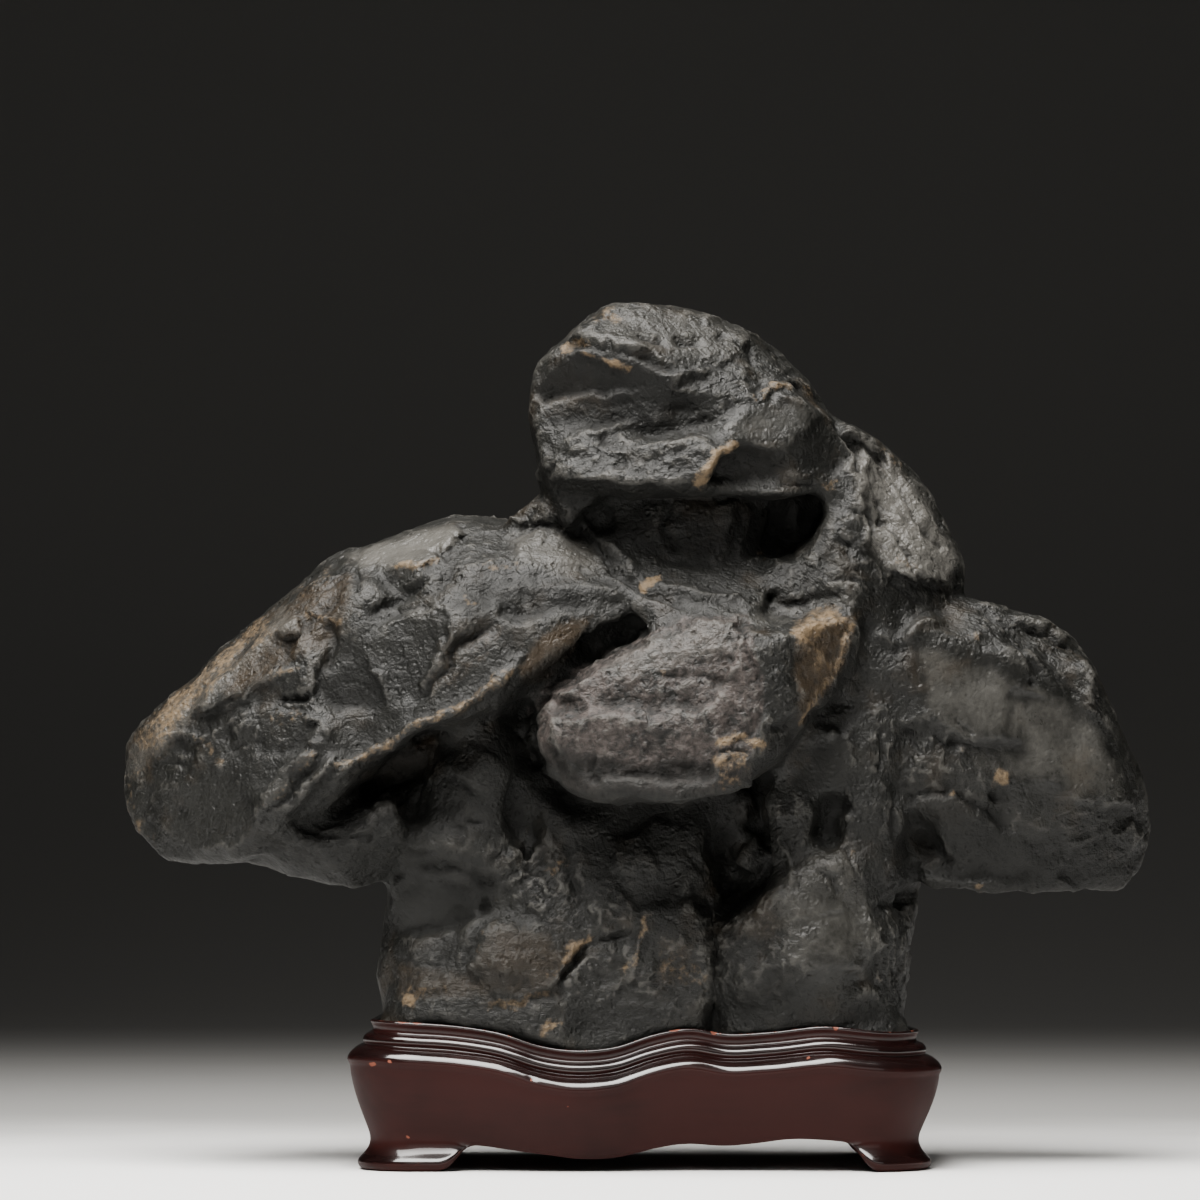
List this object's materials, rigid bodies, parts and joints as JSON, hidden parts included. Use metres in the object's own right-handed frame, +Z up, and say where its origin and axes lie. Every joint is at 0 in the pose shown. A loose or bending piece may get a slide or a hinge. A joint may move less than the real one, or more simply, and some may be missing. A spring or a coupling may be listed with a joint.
{
  "type": "scholars rock",
  "caption": "Dark viewing stone with an overhanging head, a deep hollow under it and two spreading arms, on a low carved wooden stand with short feet.",
  "frame": {"origin": "on the floor under the middle of the object's box, 4.3 mm in front of the middle of the stand", "axes": "+X along the stone's long way, to the right as seen from the front; the front faces -Y; +Z up"},
  "size_m": [0.2776, 0.1176, 0.232],
  "materials": {
    "dark_stone": "charcoal grey natural stone, handled smooth on the high places, rough in the hollows, with thin tan veins",
    "dark_wood": "dark red-brown lacquered wood, glossy on the mouldings and satin on the wall"
  },
  "bodies": {
    "root": {"stone": "dark_stone", "wooden_stand": "dark_wood"}
  },
  "joints": []
}
